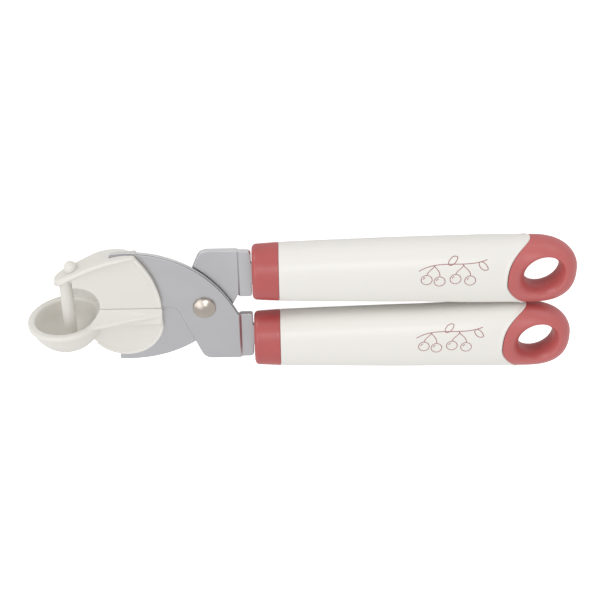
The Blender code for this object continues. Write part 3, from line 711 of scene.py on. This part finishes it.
def make_rivet():
    seat = PLATE_OUTER + SEAT_GAP
    tail_seat = WASHER_LOW.z - SEAT_GAP
    top = RIVET_HIGH.z
    profile = [(0.0, RIVET_LOW.z)]
    profile += [(0.45 * TAIL_R, RIVET_LOW.z), (0.72 * TAIL_R, RIVET_LOW.z + 0.1)]
    profile += arc((TAIL_R - 0.5, RIVET_LOW.z + 0.65), 0.5, -70.0, 0.0, 6)
    profile += [(TAIL_R, tail_seat - 0.05), (TAIL_R - 0.05, tail_seat), (SHANK_R, tail_seat)]
    profile += [(SHANK_R, seat), (RIVET_HEAD_R - 0.12, seat), (RIVET_HEAD_R, seat + 0.12)]
    profile += [(RIVET_HEAD_R, seat + 0.5)]
    profile += arc((RIVET_HEAD_R - HEAD_ROUND_R, seat + HEAD_ROUND_R), HEAD_ROUND_R, 8.0, 62.0, 6)
    for step in range(1, DOME_STEPS + 1):
        share = 1.0 - step / DOME_STEPS
        profile.append((DOME_R * share, top - (top - profile_top(seat)) * share * share))
    head = turned("rivet_finished", profile)
    return finish_piece(head, REAR, (NICKEL,), ("pivot_rivet",), 50.0)


def profile_top(seat):
    """Height of the head's shoulder, where the low dome starts."""
    return seat + HEAD_ROUND_R + HEAD_ROUND_R * math.sin(math.radians(66.0))


def make_washer():
    low, high = WASHER_LOW.z, WASHER_HIGH.z
    radius = WASHER_HIGH.x
    edge = 0.12
    profile = [(SHANK_R + 0.1, low), (radius - edge, low), (radius, low + edge)]
    profile += [(radius, high - edge), (radius - edge, high), (SHANK_R + 0.1, high)]
    washer = turned_ring("washer_finished", profile)
    return finish_piece(washer, REAR, (NICKEL,), ("rivet_washer",), 40.0)


# ---------------------------------------------------------------- upper jaw and plunger


def upper_web_outline(top_angle, drop):
    """Upright web under the flange, cut by the arch over the cup; drop lowers its top edge."""
    low_y = PARTING + PARTING_GAP
    arc_low = math.degrees(math.asin((low_y - JAW_ARC_CENTRE[1]) / JAW_ARC_R))
    outline = arc(JAW_ARC_CENTRE, JAW_ARC_R, arc_low, top_angle, 40)
    reach = outline[-1][0] - drop
    for x, top, _, _, thickness in smooth_rows(FLANGE_STATIONS[1:7], 3):
        if NOSE_WEB_X < x < reach:
            outline.append((x, top - 0.6 * thickness - drop))
    outline += [(NOSE_WEB_X, 14.6), (NOSE_WEB_X, 9.9)]
    outline += arc(ARCH_CENTRE, ARCH_R, 100.0, 0.0, 24)
    outline += [(ARCH_CENTRE[0] + ARCH_R, low_y)]
    return outline


def make_flange():
    """Curved top flange from the arm down to the rounded nose."""
    rings = []
    for x, top, rear, front, thickness in smooth_rows(FLANGE_STATIONS, 4):
        section = rounded_section(top - thickness, top, rear, front, 0.42 * thickness)
        rings.append([(x, y, z) for y, z in section])
    return loft("flange", rings)


def make_upper_jaw():
    jaw = prism("upper_jaw_moulding", upper_web_outline(ARC_TOP_ANGLE, 0.0), -REAR_WALL, JAW_FRONT)
    rear_web = prism("rear_web", upper_web_outline(REAR_TOP_ANGLE, REAR_WEB_DROP), -JAW_FRONT, -1.0)
    combine(jaw, rear_web, "UNION")
    combine(jaw, make_flange(), "UNION")
    path = arc(JAW_ARC_CENTRE, JAW_ARC_R - 0.5, 3.4, ARC_TOP_ANGLE - 1.5, 30)
    combine(jaw, tube("arc_lip", [(x, y, JAW_FRONT - 0.1) for x, y in path], LIP_R), "UNION")
    slot_low = (BLADE_END - SLOT_CLEAR, -5.0, PLATE_INNER - SLOT_CLEAR)
    slot_high = (-5.0, 30.0, PLATE_OUTER + SLOT_CLEAR)
    combine(jaw, box("blade_slot", slot_low, slot_high), "DIFFERENCE")
    mould(jaw, JAW_VOXEL, UPPER_JAW_ROUNDS)
    return finish_piece(jaw, FRONT, (JAW_PLASTIC,), ("upper_jaw",))


def make_plunger():
    """Post with a hollowed tip, and its round button on the nose."""
    profile = [(0.0, POST_TIP_Y + 1.2), (0.8, POST_TIP_Y + 0.9), (1.3, POST_TIP_Y + 0.3)]
    profile += arc((1.75, POST_TIP_Y + 0.35), 0.35, -120.0, -5.0, 5)
    profile += [(POST_R - 0.05, POST_TIP_Y + 6.0), (POST_R, POST_TIP_Y + 9.0)]
    profile += [(POST_R, POST_TOP_Y - 1.2), (1.2, POST_TOP_Y - 0.4), (0.0, POST_TOP_Y - 0.4)]
    plunger = turned("plunger_moulding", profile, along_y(POST_X))
    stem_profile = [(STEM_R, STEM_LOW_Y), (STEM_R, BUTTON_CENTRE[1])]
    combine(plunger, turned("stem", stem_profile, along_y(BUTTON_CENTRE[0])), "UNION")
    button_profile = []
    for step in range(BUTTON_STEPS + 1):
        angle = math.pi * (step / BUTTON_STEPS - 0.5)
        ring_r = BUTTON_R * math.cos(angle) if 0 < step < BUTTON_STEPS else 0.0
        button_profile.append((ring_r, BUTTON_CENTRE[1] + BUTTON_R * math.sin(angle)))
    combine(plunger, turned("button", button_profile, along_y(BUTTON_CENTRE[0])), "UNION")
    mould(plunger, PLUNGER_VOXEL, PLUNGER_ROUNDS)
    return finish_piece(plunger, FRONT, (JAW_PLASTIC,), ("plunger",))


# ---------------------------------------------------------------- lower jaw with cup


def cup_matrix():
    """Stands the cup's axis along +Y, leaning so that the rim drops away from the arm."""
    lean = Matrix.Rotation(CUP_TILT, 4, "Z")
    return Matrix.Translation((*CUP_CENTRE, 0.0)) @ lean @ Matrix.Rotation(-math.pi / 2.0, 4, "X")


def sphere_profile(radius, start_height, hole_radius, steps):
    """Profile points down a sphere about the rim's centre, from a height to a bottom hole."""
    start = math.asin(-start_height / radius)
    end = math.acos(hole_radius / radius)
    points = []
    for step in range(steps + 1):
        angle = start + (end - start) * step / steps
        points.append((radius * math.cos(angle), -radius * math.sin(angle)))
    return points


def make_bowl():
    profile = [(0.0, 0.0), (CUP_RIM_R - CUP_ROUND, 0.0)]
    profile += arc((CUP_RIM_R - CUP_ROUND, -CUP_ROUND), CUP_ROUND, 80.0, 0.0, 4)
    profile += [(CUP_RIM_R, -CUP_RIM_H)]
    profile += sphere_profile(CUP_BOWL_R, -CUP_RIM_H - 0.4, 1.0, 24)
    profile += [(0.0, -CUP_BOWL_R)]
    return turned("cup_bowl", profile, cup_matrix())


def make_cavity():
    """Inside of the cup: scooped mouth, short bore, round bottom and the hole for the stone."""
    profile = [(0.0, CUP_CUT_TOP), (CUP_MOUTH[0][0], CUP_CUT_TOP)] + smooth_rows(CUP_MOUTH, 4)
    profile += [(CUP_BORE_R, CUP_BORE_LOW)]
    profile += sphere_profile(CUP_CAVITY_R, CUP_CAVITY_TOP, CUP_HOLE_R, 24)
    profile += [(CUP_HOLE_R, -CUP_BOWL_R - 2.0), (0.0, -CUP_BOWL_R - 2.0)]
    return turned("cup_cavity", profile, cup_matrix())


def make_guard():
    """Part of the cup's wall that rises behind the post."""
    outer = CUP_RIM_R - 0.05
    profile = [(GUARD_INNER_R, -0.5), (outer, -0.5), (outer, GUARD_HEIGHT)]
    profile += [(GUARD_INNER_R, GUARD_HEIGHT)]
    guard = turned_ring("cup_guard", profile, cup_matrix())
    low = (GUARD_LEFT, -10.0, -CUP_RIM_R - 1.0)
    high = (GUARD_RIGHT, 5.0, -JAW_FRONT - 2.0)
    return combine(guard, box("guard_reach", low, high), "INTERSECT")


def shelf_top(x):
    """Height of the shelf, which continues the plane of the cup's rim."""
    return CUP_CENTRE[1] + (x - CUP_CENTRE[0]) * math.tan(CUP_TILT)


def make_shelf():
    """Flared shoulder from the parting face down to a ledge level with the cup's rim."""
    rings = []
    for x, half in smooth_rows(SHELF_STATIONS, 6):
        top = shelf_top(x) + 0.05
        curve = []
        for step in range(7):
            t = step / 6.0
            bend = 4.0 * t * (1.0 - t) * (0.5 - SHOULDER_FILLET)
            y = SHOULDER_TOP + (top - SHOULDER_TOP) * t - 0.6 * bend * (SHOULDER_TOP - top)
            z = JAW_FRONT - 0.2 + (half - 0.6 - JAW_FRONT + 0.2) * t
            z -= 0.6 * bend * (half - JAW_FRONT)
            curve.append((y, z))
        section = curve + [(top, half - 0.35), (top - 0.25, half - 0.05), (top - 0.6, half)]
        section += [(top - SHELF_T, half - 0.45), (top - SHELF_T - 0.5, half - 1.2)]
        ring = [(x, y, z) for y, z in section]
        ring += [(x, y, -z) for y, z in reversed(section)]
        rings.append(ring)
    return loft("shelf", rings)


def make_lower_jaw():
    right = JAW_ARC_CENTRE[0] + JAW_ARC_R
    outline = arc(LOWER_WEB_CENTRE, LOWER_WEB_R, 4.0, -146.0, 60)
    outline += [(TONGUE_LEFT, -12.0), (TONGUE_LEFT, -5.0), (-15.6, -4.0)]
    jaw = prism("lower_jaw_moulding", outline, -JAW_FRONT, LOWER_WEB_FRONT)
    top = PARTING - PARTING_GAP
    wall = [(TONGUE_LEFT, -6.0), (right - 0.6, -6.0), (right, -3.0)]
    wall += [(right, top), (TONGUE_LEFT, top)]
    combine(jaw, prism("wall", wall, -JAW_FRONT, JAW_FRONT), "UNION")
    combine(jaw, make_shelf(), "UNION")
    path = arc(LOWER_WEB_CENTRE, LOWER_WEB_R - 0.45, -6.0, -140.0, 50)
    combine(jaw, tube("web_lip", [(x, y, LOWER_WEB_FRONT - 0.1) for x, y in path], LIP_R), "UNION")
    combine(jaw, make_bowl(), "UNION")
    combine(jaw, make_cavity(), "DIFFERENCE")
    combine(jaw, make_guard(), "UNION")
    slot_low = (BLADE_END - SLOT_CLEAR, -30.0, -(PLATE_OUTER + SLOT_CLEAR))
    slot_high = (-5.0, 5.0, -(PLATE_INNER - SLOT_CLEAR))
    combine(jaw, box("rear_blade_slot", slot_low, slot_high), "DIFFERENCE")
    relief_low = (BLADE_END - RELIEF_CLEAR, BLADE_LOW - 0.2, -1.0)
    relief_high = (-5.0, 5.0, PLATE_OUTER + RELIEF_CLEAR)
    combine(jaw, box("front_blade_relief", relief_low, relief_high), "DIFFERENCE")
    mould(jaw, JAW_VOXEL, LOWER_JAW_ROUNDS)
    return finish_piece(jaw, REAR, (JAW_PLASTIC,), ("lower_jaw",))


# ---------------------------------------------------------------- handles


def handle_half_height(x, end_power):
    """Distance from the grip's middle line to its edge: a gentle flare, then a rounded end."""
    if x > END_CENTRE_X:
        u = min(1.0, (x - END_CENTRE_X) / END_HALF_LENGTH)
        return END_HALF_H * max(0.0, 1.0 - u ** end_power) ** (1.0 / end_power)
    for (x0, h0), (x1, h1) in zip(GRIP_FLARE, GRIP_FLARE[1:]):
        if x <= x1:
            share = (x - x0) / (x1 - x0)
            return h0 + (h1 - h0) * share
    return END_HALF_H


def loop_share(x):
    """Smooth share, 0 on the grip and 1 at the end loop."""
    share = min(1.0, max(0.0, (x - LOOP_THIN_START) / LOOP_THIN_LENGTH))
    return share * share * (3.0 - 2.0 * share)


def handle_half_thickness(x):
    """Half thickness of the grip: full body, thinner towards the end loop."""
    half = HANDLE_HALF_T + (LOOP_HALF_T - HANDLE_HALF_T) * loop_share(x)
    if x < COLLAR_END:
        half -= 0.05 * (COLLAR_END - x)
    if x > END_CENTRE_X:
        u = min(1.0, (x - END_CENTRE_X) / END_HALF_LENGTH)
        half *= math.sqrt(max(0.0, 1.0 - u ** 4))
    return half


def power(value, exponent):
    return math.copysign(abs(value) ** exponent, value)


def grip_shape(x, y_mid):
    """(middle y, half height, half thickness) of the grip at X."""
    above = handle_half_height(x, END_TOP_POWER)
    below = handle_half_height(x, END_LOW_POWER) * (1.0 + LOOP_DROP / END_HALF_H * loop_share(x))
    fuller = INNER_SWELL * min(1.0, max(0.0, (x - SWELL_START) / SWELL_LENGTH))
    if y_mid > 0.0:
        below += fuller
    else:
        above += fuller
    return y_mid + 0.5 * (above - below), 0.5 * (above + below), handle_half_thickness(x)


def grip_point(x, angle, y_mid, offset):
    """Point on the grip's rounded section, moved out by an offset."""
    middle, half_h, half_t = grip_shape(x, y_mid)
    y = middle + (half_h + offset) * power(math.cos(angle), 2.0 / HANDLE_POWER)
    z = (half_t + offset) * power(math.sin(angle), 2.0 / HANDLE_POWER)
    return (x, y, z)


def ring_angles():
    return [math.tau * (step + 0.5) / RING_POINTS for step in range(RING_POINTS)]


def grip_ring(x, y_mid, offset=0.0):
    return [grip_point(x, angle, y_mid, offset) for angle in ring_angles()]


def seam_x(v):
    """X of the slanted seam at a height v above the grip's middle line."""
    rise = v - SEAM_Y
    if rise > 0.0:
        return SEAM_X + SEAM_RISE[0] * rise ** SEAM_RISE[1]
    return SEAM_X + SEAM_FALL[0] * (-rise) ** SEAM_FALL[1]


def seam_at(angle, y_mid):
    """X where the grip's line at this angle meets the seam."""
    x = SEAM_X
    for _ in range(12):
        x = seam_x(grip_point(x, angle, y_mid, 0.0)[1] - y_mid)
    return x


def seam_ring(ends, y_mid, place, offset):
    """Ring that follows the slanted seam; place turns the seam's X at an angle into the ring's."""
    return [grip_point(place(end), angle, y_mid, offset) for angle, end in zip(ring_angles(), ends)]


def make_shell(prefix, y_mid, body):
    """Hard sleeve with a fine raised lip along the slanted seam."""
    ends = [seam_at(angle, y_mid) - SEAM_GAP for angle in ring_angles()]
    front = SHELL_START - 0.1
    rings = [grip_ring(front + dx, y_mid, offset) for dx, offset in SLEEVE_EDGE]
    start = front + 1.2
    spans = 40
    for step in range(spans + 1):
        share = step / spans
        rings.append(seam_ring(ends, y_mid, lambda end: start + (end - 2.6 - start) * share, 0.0))
    for distance, offset in SEAM_LIP:
        rings.append(seam_ring(ends, y_mid, lambda end: end - distance, offset))
    for step in range(1, 8):
        share = 1.0 - step / 8.0
        rings.append(seam_ring(ends, y_mid, lambda end: front + (end - front) * share, -WALL))
    shell = loft(f"{prefix}_shell_moulding", rings, closed=True)
    return finish_piece(shell, body, (CREAM,), (f"{prefix}_handle_shell",), 60.0)


def make_collar(prefix, y_mid, side, body):
    """Soft collar with a rounded front, closed around the arm's tongue."""
    round_r = 1.5
    end = COLLAR_END + 0.12
    rings = [grip_ring(end - dx, y_mid, offset) for dx, offset in SLEEVE_EDGE]
    body_start = COLLAR_START + round_r
    for step in range(1, 9):
        rings.append(grip_ring(end - 0.15 + (body_start - end + 0.15) * step / 8.0, y_mid))
    for step in range(1, 9):
        angle = 0.5 * math.pi * step / 8.0
        x = COLLAR_START + round_r * (1.0 - math.sin(angle))
        rings.append(grip_ring(x, y_mid, -round_r * (1.0 - math.cos(angle))))
    tang_mid = -0.5 * side * (TANG_TOP + TANG_BOTTOM)
    z_tang = -side * (PLATE_INNER + 0.5 * PLATE - JOGGLE)
    slot = []
    for angle in ring_angles():
        y = tang_mid + (TONGUE_HALF + 0.12) * power(math.cos(angle), 0.2)
        z = z_tang + (0.5 * PLATE + 0.12) * power(math.sin(angle), 0.2)
        slot.append((y, z))
    face = rings[-1]
    for share in (0.06, 0.3, 0.6, 0.9, 1.0):
        x = COLLAR_START - 0.1 * share
        ring = []
        for (_, y, z), (slot_y, slot_z) in zip(face, slot):
            ring.append((x, y + (slot_y - y) * share, z + (slot_z - z) * share))
        rings.append(ring)
    for depth in (0.1, 1.2, 2.4):
        rings.append([(COLLAR_START + depth, y, z) for y, z in slot])
    pocket = grip_ring(COLLAR_START + 2.6, y_mid, -WALL)
    halfway = []
    for (x, y, z), (slot_y, slot_z) in zip(pocket, slot):
        halfway.append((x, 0.5 * (y + slot_y), 0.5 * (z + slot_z)))
    rings.append(halfway)
    rings.append(pocket)
    collar = loft(f"{prefix}_collar_rubber", rings, closed=True)
    return finish_piece(collar, body, (ROSE_SHADED_COPY,), (f"{prefix}_collar",), 50.0)


def hole_outline(y_mid, flare, count=72):
    """Tilted ellipse about the hole's centre, widened by a flare."""
    points = []
    for step in range(count):
        angle = math.tau * step / count
        u = (HOLE_AXES[0] + flare) * math.cos(angle)
        v = (HOLE_AXES[1] + flare) * math.sin(angle)
        x = HOLE_CENTRE[0] + u * math.cos(HOLE_TILT) - v * math.sin(HOLE_TILT)
        y = y_mid + HOLE_CENTRE[1] + u * math.sin(HOLE_TILT) + v * math.cos(HOLE_TILT)
        points.append((x, y))
    return points


def make_hole_cutter(y_mid):
    """Oval hole that opens out towards both faces, so the loop is round all the way in."""
    rings = []
    steps = 24
    for step in range(steps + 1):
        angle = math.pi * (step / steps - 0.5)
        flare = HOLE_FLARE * (1.0 - math.cos(angle))
        z = HOLE_FLARE_DEPTH * math.sin(angle)
        rings.append([(x, y, z) for x, y in hole_outline(y_mid, flare)])
    rings.insert(0, [(x, y, -REACH) for x, y, _ in rings[0]])
    rings.append([(x, y, REACH) for x, y, _ in rings[-1]])
    return loft("loop_hole", rings)


def seam_cutter(y_mid, shift, x_far):
    """Block between the seam and a far X."""
    points = []
    steps = 80
    for step in range(steps + 1):
        v = -SEAM_HALF_SPAN + 2.0 * SEAM_HALF_SPAN * step / steps
        points.append((seam_x(v) + shift, y_mid + v))
    points += [(x_far, y_mid + SEAM_HALF_SPAN), (x_far, y_mid - SEAM_HALF_SPAN)]
    return prism("seam_cut", points, -REACH, REACH)


def make_loop(prefix, y_mid, body):
    """Soft end loop, round in section all the way about its oval hole."""
    stations = list(LOOP_STATIONS)
    steps = 28
    for step in range(1, steps + 1):
        angle = 0.5 * math.pi * step / steps
        stations.append(END_CENTRE_X + END_HALF_LENGTH * math.sin(angle) * 0.9998)
    loop = loft(f"{prefix}_loop_rubber", [grip_ring(x, y_mid) for x in stations])
    combine(loop, make_hole_cutter(y_mid), "DIFFERENCE")
    mould(loop, LOOP_VOXEL, LOOP_ROUNDS)
    combine(loop, seam_cutter(y_mid, SEAM_GAP, 90.0), "DIFFERENCE")
    low = (SPIGOT_START, y_mid - SPIGOT_HALF_Y, -SPIGOT_HALF_Z)
    high = (SPIGOT_END, y_mid + SPIGOT_HALF_Y, SPIGOT_HALF_Z)
    combine(loop, box("spigot", low, high), "UNION")
    return finish_piece(loop, body, (ROSE,), (f"{prefix}_hanging_loop",), 50.0)


# ---------------------------------------------------------------- printed sprig


def sprig_lines():
    """Line work of a generic cherry sprig: (points, closed, ink) in millimetres."""
    lines = [(bezier((-12.0, 0.6), (-5.0, 5.2), (4.0, 1.2), (12.0, 4.4), 24), False, 0)]
    for foot, left, right, drop in ((-6.6, -9.2, -4.6, -3.0), (3.6, 1.0, 6.2, -2.8)):
        top_y = 2.75 if foot < 0.0 else 2.85
        for x, low in ((left, drop), (right, drop - 0.7)):
            stalk = bezier((foot, top_y), (foot + 0.2, 1.6), (x + 0.3, 0.8), (x, low + 1.9), 12)
            lines.append((stalk, False, 0))
            lines.append((arc((x, low), 1.95, 0.0, 345.0, 23), True, 1))
            lines.append((arc((x, low), 1.2, 110.0, 165.0, 6), False, 1))
    for root, tip in (((-1.6, 2.9), (1.6, 5.4)), ((9.2, 3.4), (12.4, 0.8))):
        rise = (-(tip[1] - root[1]) * 0.35, (tip[0] - root[0]) * 0.35)
        for bend in (1.0, -1.0):
            low = (root[0] + rise[0] * bend + 0.4, root[1] + rise[1] * bend)
            high = (tip[0] + rise[0] * bend - 0.8, tip[1] + rise[1] * bend)
            lines.append((bezier(root, low, high, tip, 12), False, 0))
    return lines


def grip_surface_z(x, y, y_mid):
    """Height of the grip's front face at X and Y."""
    middle, half_h, half_t = grip_shape(x, y_mid)
    share = min(1.0, abs(y - middle) / half_h)
    return half_t * (1.0 - share ** HANDLE_POWER) ** (1.0 / HANDLE_POWER)


def make_sprig(prefix, y_mid, body):
    """Thin raised print that follows the grip's front face."""
    curve = bpy.data.curves.new(f"{prefix}_sprig_print", "CURVE")
    curve.dimensions = "3D"
    curve.bevel_depth = INK_R * MM
    curve.bevel_resolution = 2
    curve.use_fill_caps = True
    for points, closed, ink in sprig_lines():
        spline = curve.splines.new("POLY")
        spline.material_index = ink
        spline.points.add(len(points) - 1)
        spline.use_cyclic_u = closed
        for target, (u, v) in zip(spline.points, points):
            x, y = SPRIG_X + u, y_mid + SPRIG_Y + v
            z = grip_surface_z(x, y, y_mid) - 0.4 * INK_R
            target.co = (*(TO_WORLD @ Vector((x, y, z))), 1.0)
    sprig = bpy.data.objects.new(curve.name, curve)
    bpy.context.scene.collection.objects.link(sprig)
    curve.materials.append(INK)
    curve.materials.append(DEEP_INK)
    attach(sprig, body)
    return sprig


def make_handles():
    for prefix, side, body in (("upper", 1, REAR), ("lower", -1, FRONT)):
        low, high = local_box(f"{prefix}_collar")
        y_mid = 0.5 * (low.y + high.y)
        make_shell(prefix, y_mid, body)
        make_collar(prefix, y_mid, side, body)
        make_loop(prefix, y_mid, body)
        make_sprig(prefix, y_mid, body)


# ---------------------------------------------------------------- hidden CAD pieces


def dress_hidden_nodes():
    """The pins and cores keep their CAD shape and get a detailed material."""
    for name, node in frame["nodes"].items():
        if "_pin_" in name:
            material = PIN_STEEL
        elif name.endswith("_core"):
            material = CORE_PLASTIC
        else:
            continue
        for slot in node.material_slots:
            slot.material = material


# ---------------------------------------------------------------- stage, light and camera


def make_floor():
    bm = bmesh.new()
    bmesh.ops.create_grid(bm, x_segments=4, y_segments=4, size=FLOOR_SIZE)
    floor = as_object("floor", bm)
    floor.location.z = cad_low.z - FLOOR_DROP
    floor.data.materials.append(make_floor_material())


def aim(obj, place, target):
    obj.location = place
    obj.rotation_euler = (target - place).to_track_quat("-Z", "Y").to_euler()


def make_light(name, direction, distance, size, watts):
    data = bpy.data.lights.new(name, "AREA")
    data.shape = "DISK"
    data.size = size
    data.energy = watts
    light = bpy.data.objects.new(name, data)
    bpy.context.scene.collection.objects.link(light)
    middle = 0.5 * (cad_low + cad_high)
    aim(light, middle + Vector(direction).normalized() * distance, middle)


def make_world():
    world = bpy.data.worlds.new("studio")
    world.use_nodes = True
    background = world.node_tree.nodes["Background"]
    background.inputs["Color"].default_value = (1.0, 1.0, 1.0, 1.0)
    background.inputs["Strength"].default_value = WORLD_STRENGTH
    bpy.context.scene.world = world


def make_camera():
    """Camera tilted from straight above; the upper handle is at the top of the picture."""
    back = Vector((0.0, math.sin(CAMERA_TILT), math.cos(CAMERA_TILT)))
    up = Vector((0.0, math.cos(CAMERA_TILT), -math.sin(CAMERA_TILT)))
    right = up.cross(back)
    rolled_right = math.cos(CAMERA_ROLL) * right + math.sin(CAMERA_ROLL) * up
    rolled_up = -math.sin(CAMERA_ROLL) * right + math.cos(CAMERA_ROLL) * up
    target = PIVOT + Vector(CAMERA_TARGET) * MM
    place = target + back * CAMERA_DISTANCE
    data = bpy.data.cameras.new("camera")
    data.sensor_width = 36.0
    data.lens = CAMERA_LENS
    data.clip_start = 0.01
    camera = bpy.data.objects.new("camera", data)
    columns = (rolled_right, rolled_up, back)
    rotation = Matrix([[column[row] for column in columns] for row in range(3)])
    camera.matrix_world = Matrix.Translation(place) @ rotation.to_4x4()
    bpy.context.scene.collection.objects.link(camera)
    bpy.context.scene.camera = camera


make_camera()
make_arms()
make_rivet()
make_washer()
make_upper_jaw()
make_plunger()
make_lower_jaw()
make_handles()
dress_hidden_nodes()
make_floor()
make_world()
for softbox in SOFTBOXES:
    make_light(*softbox)
bpy.context.scene.view_settings.view_transform = "Standard"
